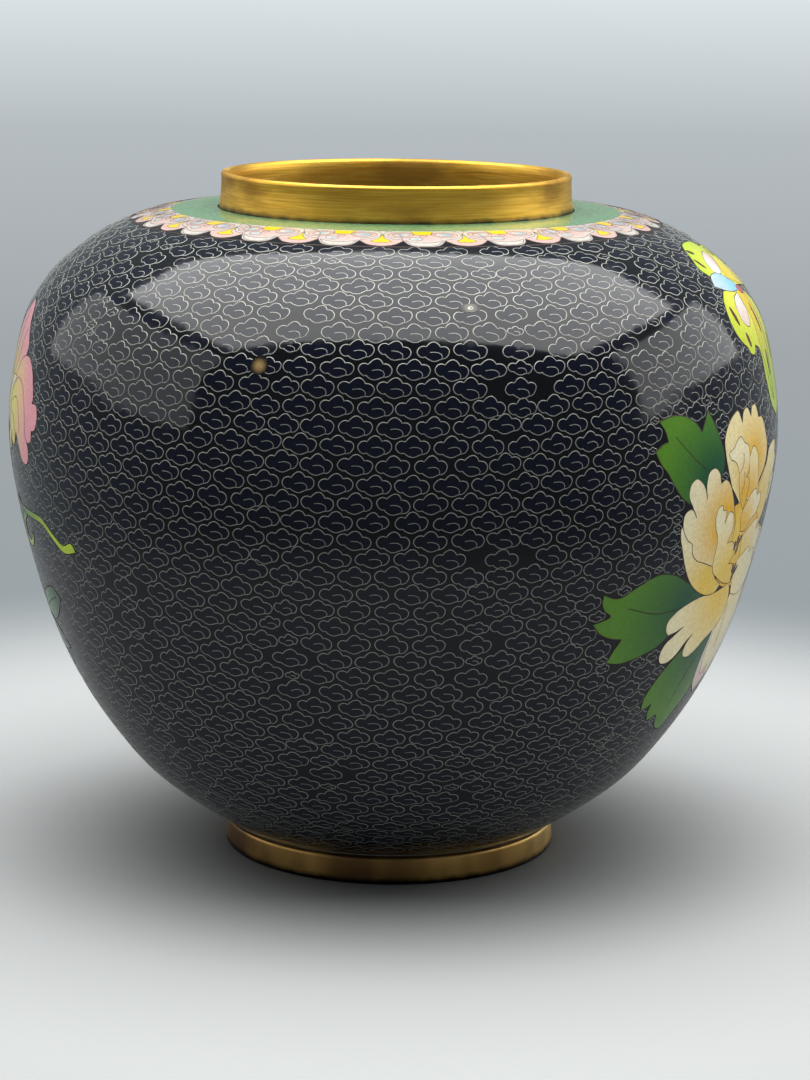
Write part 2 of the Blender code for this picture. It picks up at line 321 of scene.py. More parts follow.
class Nodes:
    """A short way to add and link the nodes of one material, or of the world."""

    def __init__(self, owner):
        self.owner = owner
        owner.use_nodes = True
        self.tree = owner.node_tree
        self.shader = self.tree.nodes.get("Principled BSDF")

    def add(self, kind, **settings):
        node = self.tree.nodes.new(kind)
        for key, value in settings.items():
            setattr(node, key, value)
        return node

    def link(self, source, target):
        self.tree.links.new(source, target)

    def place(self):
        return self.add("ShaderNodeTexCoord").outputs["Object"]

    def noise(self, scale, detail=4.0, stretch=(1.0, 1.0, 1.0), vector=None):
        """Noise of features 1/scale metres wide, stretched along an axis where its factor is low."""
        mapping = self.add("ShaderNodeMapping")
        mapping.inputs["Scale"].default_value = stretch
        self.link(vector or self.place(), mapping.inputs["Vector"])
        noise = self.add("ShaderNodeTexNoise")
        noise.inputs["Scale"].default_value = scale
        noise.inputs["Detail"].default_value = detail
        self.link(mapping.outputs["Vector"], noise.inputs["Vector"])
        return noise.outputs["Fac"]

    def ramp(self, value, *stops):
        """A colour ramp of (position, colour) stops."""
        ramp = self.add("ShaderNodeValToRGB")
        elements = ramp.color_ramp.elements
        while len(elements) < len(stops):
            elements.new(0.5)
        for element, (position, colour) in zip(elements, stops):
            element.position = position
            element.color = (*colour, 1.0)
        self.link(value, ramp.inputs["Fac"])
        return ramp.outputs["Color"]

    def mix(self, share, first, second, blend="MIX"):
        """Two colours mixed. Each is a socket or a constant colour."""
        mix = self.add("ShaderNodeMix", data_type="RGBA", blend_type=blend)
        for socket, value in (("Factor", share), ("A", first), ("B", second)):
            slot = [slot for slot in mix.inputs if slot.name == socket and slot.enabled][0]
            if isinstance(value, bpy.types.NodeSocket):
                self.link(value, slot)
            elif socket == "Factor":
                slot.default_value = value
            else:
                slot.default_value = (*value, 1.0)
        return [output for output in mix.outputs if output.enabled][0]

    def carried(self, value, limits, results=(0.0, 1.0), step="LINEAR"):
        """A value carried over from the range of the limits to that of the results."""
        node = self.add("ShaderNodeMapRange", interpolation_type=step)
        for socket, number in zip(("From Min", "From Max", "To Min", "To Max"), (*limits, *results)):
            node.inputs[socket].default_value = number
        self.link(value, node.inputs["Value"])
        return node.outputs["Result"]

    def spread(self, noise, low, high):
        """Noise, which mostly stays between 0.3 and 0.7, carried over to the range low to high."""
        return self.carried(noise, (0.3, 0.7), (low, high))

    def above(self, height, blend):
        """Grows from 0 to 1 over the blend above a height, along a slightly ragged line."""
        parts = self.add("ShaderNodeSeparateXYZ")
        self.link(self.place(), parts.inputs["Vector"])
        ragged = self.add("ShaderNodeMath", operation="MULTIPLY_ADD")
        self.link(self.noise(220.0), ragged.inputs[0])
        ragged.inputs[1].default_value = -blend
        self.link(parts.outputs["Z"], ragged.inputs[2])
        return self.carried(ragged.outputs["Value"], (height - blend / 2, height + blend / 2))

    def bump(self, value, strength, distance):
        bump = self.add("ShaderNodeBump")
        bump.inputs["Strength"].default_value = strength
        bump.inputs["Distance"].default_value = distance
        self.link(value, bump.inputs["Height"])
        self.link(bump.outputs["Normal"], self.shader.inputs["Normal"])


def grey(value):
    return (value, value, value)


def enamel(name, colour=None, roughness=(0.07, 0.16), variation=0.35, pits=0.25):
    """Glossy ground enamel: mottled colour, small pits and a faintly wavy polish.

    With no colour given, the colour is the one painted on the mesh's corners.
    """
    n = Nodes(bpy.data.materials.new(name))
    if colour is None:
        paint = n.add("ShaderNodeAttribute", attribute_name="paint").outputs["Color"]
    else:
        paint = colour
    grain = n.noise(900.0)
    darker = n.ramp(grain, (0.35, grey(1.0 - variation)), (0.62, grey(1.0)))
    mottled = n.mix(1.0, paint, darker, "MULTIPLY")
    specks = n.ramp(n.noise(2400.0, 2.0), (0.70, grey(0.0)), (0.78, grey(pits)))
    n.link(n.mix(specks, mottled, (0.30, 0.28, 0.24)), n.shader.inputs["Base Color"])
    n.link(n.spread(n.noise(160.0), *roughness), n.shader.inputs["Roughness"])
    n.shader.inputs["IOR"].default_value = 1.47
    n.bump(n.noise(55.0, 3.0), 0.10, 0.0006)
    return n.owner


def wire_metal(name, colour, roughness, metallic):
    """Thin flat wire. Its colour stays plain, because no wire is much over half a millimetre wide."""
    n = Nodes(bpy.data.materials.new(name))
    n.shader.inputs["Base Color"].default_value = (*colour, 1.0)
    n.shader.inputs["Metallic"].default_value = metallic
    n.shader.inputs["Roughness"].default_value = roughness
    n.bump(n.noise(1500.0, 2.0), 0.15, 0.0001)
    return n.owner


def collar_brass():
    """Worn gilt brass: brushed round the ring, brown in patches and along its foot."""
    n = Nodes(bpy.data.materials.new("collar_brass"))
    brushed = n.noise(60.0, 5.0, stretch=(1.0, 1.0, 40.0))
    gilt = n.ramp(brushed, (0.35, (0.78, 0.42, 0.05)), (0.65, (0.98, 0.61, 0.10)))
    patches = n.noise(28.0, 5.0, stretch=(1.0, 1.0, 3.5))
    patina = n.ramp(patches, (0.49, grey(0.0)), (0.63, grey(0.70)))
    aged = n.mix(patina, gilt, (0.30, 0.15, 0.03))
    n.link(n.mix(n.above(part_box("neck_band_enamel")[1].z, 1.6 * MM), (0.05, 0.045, 0.03), aged),
           n.shader.inputs["Base Color"])
    n.shader.inputs["Metallic"].default_value = 1.0
    n.link(n.spread(patches, 0.32, 0.55), n.shader.inputs["Roughness"])
    n.bump(brushed, 0.25, 0.0002)
    return n.owner


def foot_brass():
    """Brass gone brown to black, worn bright in upright bands, with a near-black line of painted shade along
    its bottom edge, where it meets the floor.
    """
    n = Nodes(bpy.data.materials.new("foot_brass"))
    bands = n.noise(26.0, 3.0, stretch=(1.0, 1.0, 0.08))
    tone = n.ramp(
        bands, (0.36, (0.20, 0.11, 0.04)), (0.50, (0.50, 0.30, 0.09)), (0.66, (0.95, 0.64, 0.22))
    )
    # Painted shade: the lowest millimetre of the foot is painted near black, where it meets the floor.
    toned_with_painted_shade = n.mix(n.above(1.0 * MM, 1.6 * MM), (0.012, 0.009, 0.007), tone)
    n.link(toned_with_painted_shade, n.shader.inputs["Base Color"])
    n.shader.inputs["Metallic"].default_value = 0.9
    n.link(n.spread(n.noise(90.0), 0.28, 0.55), n.shader.inputs["Roughness"])
    n.bump(n.noise(400.0), 0.2, 0.0002)
    return n.owner


def plain_copper():
    n = Nodes(bpy.data.materials.new("spun_copper"))
    rings = n.noise(80.0, 4.0, stretch=(1.0, 1.0, 12.0))
    n.link(n.ramp(rings, (0.3, (0.45, 0.17, 0.08)), (0.7, (0.70, 0.32, 0.17))), n.shader.inputs["Base Color"])
    n.shader.inputs["Metallic"].default_value = 1.0
    n.link(n.spread(rings, 0.30, 0.50), n.shader.inputs["Roughness"])
    return n.owner


# Cells and their wires ---------------------------------------------------------------------------


def counterclockwise(outline):
    x, y = outline[:, 0], outline[:, 1]
    doubled_area = np.sum(x * np.roll(y, -1) - y * np.roll(x, -1))
    return outline if doubled_area > 0 else outline[::-1]


def cell(runs, root, inner, outer, veins=()):
    """One enamel cell: its outline, the point its shading starts from, two colours and inner wires."""
    outline = runs if isinstance(runs, np.ndarray) else closed_outline(runs)
    return {
        "outline": counterclockwise(outline),
        "root": np.array(root, float),
        "inner": np.array(PAINTS[inner]),
        "outer": np.array(PAINTS[outer]),
        "veins": [smooth_curve(vein, 0.8) for vein in veins],
    }


def shade(one_cell, points):
    """The cell's colour at the points: from inner at its root to outer at its far edge."""
    reach = np.linalg.norm(one_cell["outline"] - one_cell["root"], axis=1).max()
    share = np.linalg.norm(points - one_cell["root"], axis=1) / reach
    share = np.clip(share * 1.7 - 0.30, 0.0, 1.0)[:, None]
    return one_cell["inner"] * (1 - share) + one_cell["outer"] * share


def patch_points(points, centre, lift, radius=None):
    """Flat (x, y) points round a centre (azimuth, arc), wrapped onto the body."""
    arc = centre[1] + points[:, 1]
    turn = math.radians(centre[0]) + points[:, 0] / (radius or radius_at(arc))
    return on_body(turn, arc, lift)


def painted_sheet(name, cells, centres, material, replaced=(), radius=None, grid=2.2):
    """All cells of a motif in one sheet without overlaps: each place shows the last cell over it."""
    outlines = [one["outline"] for one in cells]
    points = np.vstack(outlines)
    rings, start = [], 0
    for outline in outlines:
        rings.append(list(range(start, start + len(outline))))
        start += len(outline)
    low, high = points.min(0), points.max(0)
    x, y = np.meshgrid(np.arange(low[0], high[0], grid), np.arange(low[1], high[1], grid))
    filling = np.stack([x.ravel(), y.ravel()], 1)
    covered = np.zeros(len(filling), bool)
    for outline in outlines:
        covered |= inside(filling, outline)
    points = np.vstack([points, filling[covered]])
    flat, _, faces, _, _, sources = delaunay_2d_cdt(
        [Vector(point) for point in points], [], rings, 1, 0.0001, True
    )
    flat = np.array([tuple(point) for point in flat])
    faces = np.array([face for face, source in zip(faces, sources) if source])
    owners = np.array([max(source) for source in sources if source])
    corners = flat[faces]
    colours = np.ones((len(faces), 3, 4))
    for index, one in enumerate(cells):
        owned = owners == index
        if owned.any():
            colours[owned, :, :3] = shade(one, corners[owned].reshape(-1, 2)).reshape(-1, 3, 3)
    wrapped = [patch_points(flat, centre, SHEET_LIFT, radius) for centre in centres]
    all_faces = np.vstack([faces + len(flat) * index for index in range(len(centres))])
    piece = add_piece(name, np.vstack(wrapped), all_faces, material, replaced)
    paint = piece.data.color_attributes.new("paint", "FLOAT_COLOR", "CORNER")
    paint.data.foreach_set("color", np.tile(colours.reshape(-1), len(centres)))
    return piece


def visible_runs(line, covers, keep=None):
    """The stretches of a line outside every cover, and inside keep if that is given."""
    shown = np.ones(len(line), bool)
    for cover in covers:
        shown &= ~inside(line, cover)
    if keep is not None:
        shown &= inside(line, keep)
    runs, current = [], []
    for point, visible in zip(line, shown):
        if visible:
            current.append(point)
        elif current:
            runs.append(np.array(current))
            current = []
    if current:
        runs.append(np.array(current))
    return [run for run in runs if len(run) > 2]


def side_steps(line, width):
    """Steps from a flat line to the left edge of a ribbon along it."""
    direction = np.gradient(line, axis=0)
    direction /= np.linalg.norm(direction, axis=1)[:, None]
    return np.stack([-direction[:, 1], direction[:, 0]], 1) * width / 2


def ribbons(name, lines, centres, width, material, radius=None, replaced=()):
    """Wires along flat lines, wrapped round each centre: a low roof with its edges in the enamel."""
    lifts = (SHEET_LIFT - WIRE_RISE, SHEET_LIFT + WIRE_RISE, SHEET_LIFT - WIRE_RISE)
    points, faces, start = [], [], 0
    for centre in centres:
        for line in lines:
            side = side_steps(line, width)
            rows = (line - side, line, line + side)
            points += [patch_points(row, centre, lift, radius) for row, lift in zip(rows, lifts)]
            faces.append(strip_faces(3, len(line)) + start)
            start += 3 * len(line)
    return add_piece(name, np.vstack(points), np.vstack(faces), material, replaced)


def cell_wires(cells):
    """The wires that show in a motif: outlines not covered by later cells, and the cells' veins."""
    lines = []
    for index, one in enumerate(cells):
        covers = [later["outline"] for later in cells[index + 1:]]
        loop = np.vstack([one["outline"], one["outline"][:2]])
        lines += visible_runs(loop, covers)
        for vein in one["veins"]:
            lines += visible_runs(vein, covers, one["outline"])
    return lines


# Motifs, drawn in millimetres round their centres ----------------------------------------------


def lobed_petal(root, angle, length, width, lobes=3, depth=0.12):
    """A petal outline: narrow at its root, with rounded lobes along its far edge.

    Its angle is clockwise from straight up.
    """
    share = np.linspace(0.0, 1.0, 14 * lobes)
    fan = (share - 0.5) * 2
    scallop = np.abs(np.sin(math.pi * lobes * share)) ** 0.6
    reach = length * (1 - depth + depth * scallop) * (1 - 0.22 * fan**2)
    spread = fan * width / 2 * (1 - 0.10 * fan**2)
    edge = np.stack([spread, reach], 1)
    left = smooth_curve([(0, 0), (-width * 0.32, length * 0.30), tuple(edge[0])], 1.0)[:-1]
    right = smooth_curve([tuple(edge[-1]), (width * 0.32, length * 0.30), (0, 0)], 1.0)[1:-1]
    return placed(np.vstack([left, edge, right]), root, -angle)


def petal_vein(root, angle, start, end, bend=0.0):
    """A slightly bent crease that runs out from a petal's root."""
    row = [(bend * 0.2, start), (bend, (start + end) / 2), (bend * 0.6, end)]
    return placed(row, root, -angle)


def petal(root, angle, length, width, inner, outer, lobes=3, depth=0.12):
    veins = [
        petal_vein(root, angle + side, length * 0.45, length * 0.78, side * 0.05) for side in (-9, 9)
    ]
    return cell(lobed_petal(root, angle, length, width, lobes, depth), root, inner, outer, veins)


def serrated_leaf(base, angle, length, width, teeth=4):
    """A leaf outline with a toothed edge and a drawn-out tip, at an angle from the right."""
    steps = teeth * 6
    share = np.linspace(0.0, 1.0, steps + 1)
    saw = (share * teeth) % 1.0
    half = width / 2 * np.sin(math.pi * share**0.75) * (1 - 0.22 * saw)
    upper = np.stack([share * length, half], 1)
    lower = np.stack([share * length, -half], 1)[::-1][1:-1]
    return placed(np.vstack([upper, lower])[::-1], base, angle)


def leaf(base, angle, length, width, teeth=4):
    """A leaf with a midrib and three pairs of side veins."""
    veins = [[(length * 0.08, 0), (length * 0.5, width * 0.03), (length * 0.9, 0)]]
    for share in (0.25, 0.45, 0.65):
        for side in (-1, 1):
            middle = (length * (share + 0.08), side * width * 0.16)
            end = (length * (share + 0.13), side * width * 0.34)
            veins.append([(length * share, 0), middle, end])
    outline = serrated_leaf(base, angle, length, width, teeth)
    return cell(outline, base, "leaf_deep", "leaf_tip", [placed(vein, base, angle) for vein in veins])


# Cream peony, at the right of the photo. Its centre is 62 degrees round and 125 mm up.
CREAM_CENTRE = (62.0, arc_at(125.4))


def cream_peony_cells():
    """The cream peony and its leaves, from the back to the front."""
    leaf_upper = cell(
        [
            [(-20, 3), (-17.5, 11), (-20.9, 20.1)],
            [(-25, 26.9), (-27.2, 23.5)],
            [(-28.9, 21), (-31, 23.5), (-34, 25.5), (-40, 27)],
            [(-46.8, 25.9), (-44.8, 23)],
            [(-43.9, 19.8), (-46.5, 19)],
            [(-49.2, 17.4), (-47, 13.5), (-44.5, 10.9), (-42, 7.5), (-36.5, 2), (-27, -1)],
        ],
        (-22, 6), "leaf_deep", "leaf_tip",
        [[(-26, 9), (-33, 14), (-41, 21)]],
    )
    leaf_middle = cell(
        [
            [(-15, -30), (-27.1, -24.4), (-33.4, -21.4), (-41.1, -20.1), (-48.4, -22.6), (-55, -25.6)],
            [(-60.9, -23.9), (-60.4, -27)],
            [(-58.6, -29.4), (-56, -31)],
            [(-61.5, -33.2), (-58, -36.5), (-53.3, -38.6)],
            [(-48.8, -39.5), (-50.5, -43)],
            [(-51.6, -46.8), (-46, -47.8), (-40.2, -46.9), (-30.5, -43.6), (-24, -36)],
        ],
        (-20, -33), "leaf_deep", "leaf_tip",
        [[(-26, -33), (-37, -33), (-50, -29.5)]],
    )
    leaf_lower = cell(
        [
            [(2, -44), (4.5, -52), (4.6, -60), (2.6, -68.5), (-1, -75)],
            [(-3.5, -80.5), (-8, -79)],
            [(-11, -76.5), (-12.5, -74)],
            [(-14.2, -72.1), (-16.5, -73.2)],
            [(-18.6, -73.2), (-20.5, -70)],
            [(-21.2, -66.4), (-23.2, -67.6)],
            [(-25.6, -67.8), (-27, -63), (-25.9, -58.7), (-21.4, -51.8), (-14, -46)],
        ],
        (-4, -46), "leaf_deep", "leaf_tip",
        [[(-6, -54), (-8.4, -62), (-9, -71)]],
    )
    right_side = [
        petal((4, -10), 62, 32, 20, "gold", "cream"),
        petal((4, -14), 118, 34, 20, "amber", "cream"),
        petal((2, -20), 128, 33, 22, "amber", "cream"),
        petal((6, -31), 130, 34, 26, "amber", "cream"),
    ]
    back = cell(
        [
            [(-12, 2.4), (-14.7, 7.3), (-16.8, 12.8), (-17.3, 16.9), (-15.1, 21), (-11.5, 23.7),
             (-8.3, 24.8)],
            [(-5.7, 20.8), (-4.4, 24), (-1.6, 25)],
            [(1, 22), (2.4, 24.8), (5, 25)],
            [(7.3, 20.9), (10.4, 20.6), (12.6, 17.8), (15.2, 12.8), (15.7, 8.7), (14.1, 5.5), (9.4, 1.5)],
            [(0, -8)],
        ],
        (3, 8), "amber", "cream",
    )
    right_tall = cell(
        [
            [(9, -6), (11, 0), (16.7, 6.4), (18, 9.4), (22, 11), (28, 10.8)],
            [(29, 7), (32, 5), (29.3, 1), (24.5, -0.8)],
            [(25.5, -4), (22.7, -10.5), (18, -14)],
        ],
        (12, -8), "gold", "cream",
    )
    inner_right = cell(
        [
            [(-1.2, -2), (-0.5, 5), (-0.5, 10.4), (2.4, 12.9), (5.4, 11), (7, 7.4)],
            [(7.4, 4.4), (9.2, 1.2), (6.2, -4)],
        ],
        (2, -3), "amber", "cream",
    )
    inner_left = cell(
        [
            [(-1.6, -6.1), (-5.6, -1.5), (-7.4, 3), (-8.4, 7), (-11, 10)],
            [(-13.6, 10.8), (-14.8, 13), (-12, 14.1), (-9.9, 16), (-7.3, 17)],
            [(-4.9, 15), (-1.6, 13.4), (-0.8, 10), (-1, 6.4)],
            [(-2.6, 4.4), (0.2, 3.2), (0, -1)],
        ],
        (-2, -3), "amber", "ivory",
        [[(-7.4, 6), (-5.2, 8.6), (-5.4, 12)], [(-4.6, -1), (-3.4, 3), (-4.2, 6)]],
    )
    throat = cell(
        [[(-10, -4), (-1, -3), (7, -6), (15, -11), (16, -18), (10, -30), (0, -31), (-8, -28), (-13, -14)]],
        (0, -14), "gold", "amber",
    )
    crescent = cell(
        [
            [(-31, -7), (-35.9, -6.6), (-35.4, -9.5), (-33.4, -13.6), (-29.9, -19.6), (-24.5, -25.6),
             (-18.4, -29.4), (-12.4, -31.3), (-7.4, -30.9)],
            [(-5.5, -29), (-11.5, -25.2), (-14.5, -20), (-22, -14)],
        ],
        (-13, -26), "gold", "ivory",
    )
    left = cell(
        [
            [(-14.1, -21.8), (-19.8, -19.8), (-25.5, -17.7), (-28.1, -15.3), (-29.2, -12.4)],
            [(-31.6, -11), (-34.3, -8), (-35.5, -5.2), (-35.3, -2.4), (-32.8, -1.2)],
            [(-29.4, -4.2), (-32.3, -0.5), (-34.6, 3.2), (-34.1, 6.2), (-31.8, 7.7), (-29, 6.4), (-27, 4.2)],
            [(-25.4, 0.6), (-26.5, 5.4), (-25.3, 9), (-22.5, 9.7), (-19.9, 7.8)],
            [(-18.8, 4.6), (-16.2, 5.4), (-12.5, 2.8), (-10.4, -0.3), (-7.8, -5.2), (-5.2, -11), (-6, -16)],
        ],
        (-12.5, -8), "amber", "ivory",
    )
    heart_upper = cell(
        [[(-0.5, -13), (-1.8, -7), (0.8, -4), (4.6, -1.4), (8.4, -1.2)],
         [(9.3, -3.2), (13.2, -3), (14.6, -5.4), (12.4, -8.8), (6.7, -11), (3.6, -13.5)]],
        (1, -12), "amber", "ivory",
    )
    heart_middle = cell(
        [[(4.4, -20.5), (3.1, -15.3), (8.2, -13), (16.6, -12.2)], [(16.8, -15.4), (21.6, -15), (26.1, -20)],
         [(24.6, -23), (28, -27.6), (22, -32), (12, -33)]],
        (5, -25), "gold", "ivory",
    )
    heart_lower = cell(
        [[(6.4, -34.4), (4.2, -29), (3.6, -23.8), (8.1, -21.6), (14.6, -20.8)],
         [(15.8, -22.8), (21, -22.2), (25.1, -25.8), (29, -32)], [(26, -34.4), (18, -36.5), (12.2, -36)]],
        (7, -32), "cream", "ivory",
    )
    middle = cell(
        [
            [(3, -30.2), (-3, -29.2), (-8.5, -26.7), (-13.6, -23.3), (-15, -19.2), (-15, -14.9),
             (-15.9, -12.1), (-18, -9), (-19, -5.7), (-18.2, -2.8), (-16.3, -2.3)],
            [(-15.2, -4.2), (-13.4, -4.2)],
            [(-12.9, -8.6), (-11, -5.2), (-8.6, -5.8), (-7, -8.2), (-6.7, -11.6)],
            [(-8.4, -15.4), (-4.6, -15.4), (-1.9, -18.4), (-1.6, -21)],
            [(-3.4, -22.8), (0, -23.4), (2.6, -26.8)],
        ],
        (-3, -27), "gold", "ivory",
    )
    under_left = cell(
        [
            [(2, -30), (-7.9, -31.3), (-16.3, -31.1), (-22.7, -32.2), (-28, -34.3), (-30.6, -37),
             (-29.9, -40)],
            [(-28.2, -41.6), (-24.6, -41)],
            [(-21, -39.8), (-25.4, -42.4), (-28.5, -44.9), (-29, -48.1), (-27.3, -50.9), (-23.8, -51.5),
             (-20.2, -49.7), (-17.4, -46.2)],
            [(-14, -43.4), (-16.4, -47), (-15.5, -50.7), (-12.5, -51.8), (-8, -50.3), (-4.7, -47.9),
             (0.9, -45.4), (5.8, -41.3), (4.9, -33.2)],
        ],
        (-1, -31), "gold", "ivory",
    )
    under_middle = cell(
        [
            [(7, -32), (5.8, -38), (3.2, -44), (1.6, -51), (3.4, -57), (8.6, -62.6)],
            [(11.8, -60), (14, -64), (19, -65)],
            [(21, -61), (26, -60), (30, -50), (29, -41), (22, -33)],
        ],
        (12, -33), "cream", "ivory",
        [[(8, -38), (9, -46), (10.6, -54)]],
    )
    pale_tip = cell(
        [[(1, -44), (0.4, -56), (4, -65), (10.5, -70)], [(10.5, -70), (17, -64), (17, -44)]],
        (6, -40), "white", "blush",
    )
    stamens = [
        cell(ellipse((x, y), 1.7, 0.62, tilt), (x, y - 1), "plum", "brown")
        for x, y, tilt in (
            (-1.9, -17.4, 104), (-0.4, -15.8, 82), (1.5, -15.8, 58), (0.5, -18.8, 78),
            (1.6, -25.2, 106), (3.3, -25.2, 80), (4.8, -26.2, 56), (3.0, -28.2, 82),
        )
    ]
    leaves = [leaf_upper, leaf_middle, leaf_lower]
    petals = [*right_side, right_tall, back, throat, inner_right, inner_left, heart_upper, heart_middle]
    petals += [pale_tip, under_middle, under_left, heart_lower, crescent, left, middle]
    return leaves + petals + stamens


# Butterfly, at the upper right of the photo.
BUTTERFLY_CENTRE = (62.0, arc_at(169.7))


def spot(x, y, length, width, tilt):
    return cell(ellipse((x, y), length, width, tilt, 12), (x, y), "brown", "brown")


def butterfly_cells():
    """Two spread wings with an oval in each, a blue body and brown spots."""
    forewing = cell(
        [
            [(9, 20.5), (6.1, 24.5), (8.4, 29), (13.5, 34.6), (22, 35.6), (29.2, 34.4)],
            [(33, 31.6), (38, 31.6), (44, 29), (48, 23), (49, 16)],
            [(43, 12.6), (34, 14.4), (24.6, 16)],
        ],
        (24, 17), "lemon", "lime",
    )
    fore_band = cell(
        [[(22, 19), (30, 26), (36, 30.4)], [(36, 30.4), (43, 27), (44, 20), (40, 14.4), (30, 16)]],
        (24, 17), "yellow", "lemon",
    )
    fore_oval = cell(
        [[(15.1, 22.1), (16.8, 25.9), (22, 29), (29, 29), (29.4, 26.6), (25.4, 23.2), (20, 20.8)]],
        (17, 22), "white", "blush",
    )
    fore_end = cell(
        [[(38.5, 14.2), (38, 18.5), (42, 22), (46.6, 20.5), (48.4, 15.6), (44, 13)]],
        (42, 17), "yellow", "cream",
    )
    hindwing = cell(
        [
            [(8.3, 15.4), (3.4, 12), (0.6, 6.5), (1, 1.9), (4.4, -1.8)],
            [(6.5, -3), (8.6, -5.3), (12.7, -5.4)],
            [(14.2, -3.2), (17.8, -4.7), (19.8, -12)],
            [(20.4, -14.6), (24, -22.1), (32.4, -27.2)],
            [(32.4, -27.2), (41, -24), (43, -12), (41.5, -1), (40.5, 6), (32.5, 11.8), (23, 14.8)],
        ],
        (24, 14), "lemon", "lime",
    )
    hind_band = cell(
        [[(20, 14.4), (21, 5), (20, -3), (23, -12), (29, -22)], [(29, -22), (30, -8), (31, 4), (29, 13)]],
        (24, 13), "yellow", "lime",
    )
    hind_oval = cell([[(20.5, 13.6), (13, 11.6), (9.8, 7.4), (11.2, 3.6), (15, 2.6), (19, 7)]],
                     (17, 12), "white", "blush")
    body = cell(
        [[(4.6, 17.6), (8.5, 21.2), (14, 22), (19.3, 20.7), (23.3, 18), (27, 14.8), (19.6, 14), (11, 15.4)]],
        (24, 15), "sky", "pale_blue",
    )
    head = cell(ellipse((27.2, 13.8), 3.2, 1.6, -10), (27, 14), "rose", "rose")
    spots = [
        spot(x, y, length, width, tilt)
        for x, y, length, width, tilt in (
            (13.5, 31.6, 2.2, 0.8, -25), (10.6, 26.6, 2.6, 0.8, -60), (37, 27.6, 2.4, 0.7, -40),
            (5.6, 7, 3.2, 1.0, -80), (9.4, -1, 2.4, 0.9, -70), (27, 4, 5.0, 0.8, -86),
            (27, -10, 4.2, 0.8, -80), (36, -6, 4.2, 0.7, -88),
        )
    ]
    return [forewing, fore_band, fore_end, fore_oval, hindwing, hind_band, hind_oval, body, head, *spots]


PINK_CENTRE = (-80.0, arc_at(140.3))


def pink_peony_cells():
    """The pink peony at the left edge: four petals and lobes as seen, the far side guessed."""
    far_side = [
        petal((-6, 4), 250, 34, 24, "lemon", "pink"),
        petal((-6, 4), 286, 38, 26, "lemon", "pink"),
        petal((-6, 4), 322, 36, 26, "lemon", "pink"),
        petal((-4, 2), 205, 30, 22, "lemon", "pink"),
    ]
    tall = cell(
        [
            [(-4, 4), (-9, 12), (-6, 24), (2.4, 37)],
            [(2.4, 37), (9, 34), (14, 29), (19.5, 22.6), (16, 17), (8, 8)],
        ],
        (-4, 4), "lemon", "pink",
        [[(-1, 12), (3, 22), (5, 33)], [(3, 12), (9, 20), (12, 28)]],
    )
    lobes = cell(
        [
            [(0, 0), (8, 12), (16, 19.5), (22, 20.6), (28, 17.4), (31, 13), (32.8, 9)],
            [(32.4, 7.6), (36, 7.6), (37.6, 4.4), (36, 0)],
            [(33.5, -0.6), (33.4, -3.6), (30.4, -4.6)],
            [(27.6, -2.4), (31, -7), (29.3, -11), (24.6, -11.4), (20, -6.4)],
            [(16.6, -3), (14, -7.4), (9.9, -7.6)],
            [(8.4, -4), (6.4, -10), (3, -10.4)],
        ],
        (0, 2), "lemon", "pink",
        [[(6, 9), (14, 13), (21, 11), (26, 4), (27.6, -2.4)], [(7, 5), (14, 7), (19, 3), (21, -3)],
         [(7, 2), (11, 1), (14, -3), (15, -6)]],
    )
    hood = cell(
        [[(-6, 0), (-2, 8), (4, 12.6), (11, 13)], [(11, 13), (6, 8.5), (4, 2), (6, -4)]],
        (-3, 4), "lemon", "blush",
    )
    heart = [
        petal((-8, 2), angle, 15, 11, "lemon", "blush", 2) for angle in (200, 245, 290, 335)
    ]
    tendril = cell(
        [
            [(6.7, -23.8), (12, -26.2), (17.5, -26.4), (25.2, -26.4), (36, -27.2), (41.6, -30.4),
             (47, -33), (53.5, -31.8)],
            [(54.6, -34), (46.8, -35.4), (40.8, -32.4), (35.4, -29.2), (25.2, -28.6), (17.5, -28.6),
             (9, -25.6)],
        ],
        (10, -26), "leaf_tip", "lime",
    )
    loop = cell(
        [[(16, -27), (9, -33), (9.4, -38.6), (14, -39.6), (21, -34.6), (21.6, -33.6)],
         [(21.6, -33.6), (13.6, -37.6), (11.4, -37), (11.6, -33), (17.6, -28.4)]],
        (16, -27), "leaf_tip", "lime",
    )
    teal_upper = cell(
        [
            [(18.5, -52), (27, -50.6), (31.6, -53)],
            [(31.6, -53), (26, -58), (16, -63), (6, -62.4)],
            [(6, -62.4), (10, -56)],
        ],
        (8, -60), "leaf_tip", "leaf_deep", [[(9, -60), (18, -56.5), (27, -53.5)]],
    )
    teal_lower = cell(
        [[(2, -64), (9, -64.5), (17, -67.5), (21.5, -71.6)], [(21.5, -71.6), (12, -74), (3, -73), (-3, -68)]],
        (2, -66), "leaf_tip", "leaf_deep", [[(2, -68), (10, -69), (17, -71)]],
    )
    bud = [
        petal((-44, -62), angle, 15, 13, "lemon", "pink", 2) for angle in (-55, 55, 0)
    ] + [leaf((-44, -62), angle, 15, 7, teeth=2) for angle in (-60, -120)]
    return [teal_lower, teal_upper, loop, tendril, *bud, *far_side, tall, lobes, hood, *heart]


LILAC_CENTRE = (158.0, arc_at(119.4))


def repainted(cells, colours):
    """The same cells the other way round, with some of the colours replaced."""
    swapped = {tuple(PAINTS[old]): np.array(PAINTS[new]) for old, new in colours.items()}
    turned_over = []
    for one in cells:
        turned_over.append({
            "outline": counterclockwise(one["outline"] * (-1, 1)),
            "root": one["root"] * (-1, 1),
            "inner": swapped.get(tuple(one["inner"]), one["inner"]),
            "outer": swapped.get(tuple(one["outer"]), one["outer"]),
            "veins": [vein * (-1, 1) for vein in one["veins"]],
        })
    return turned_over


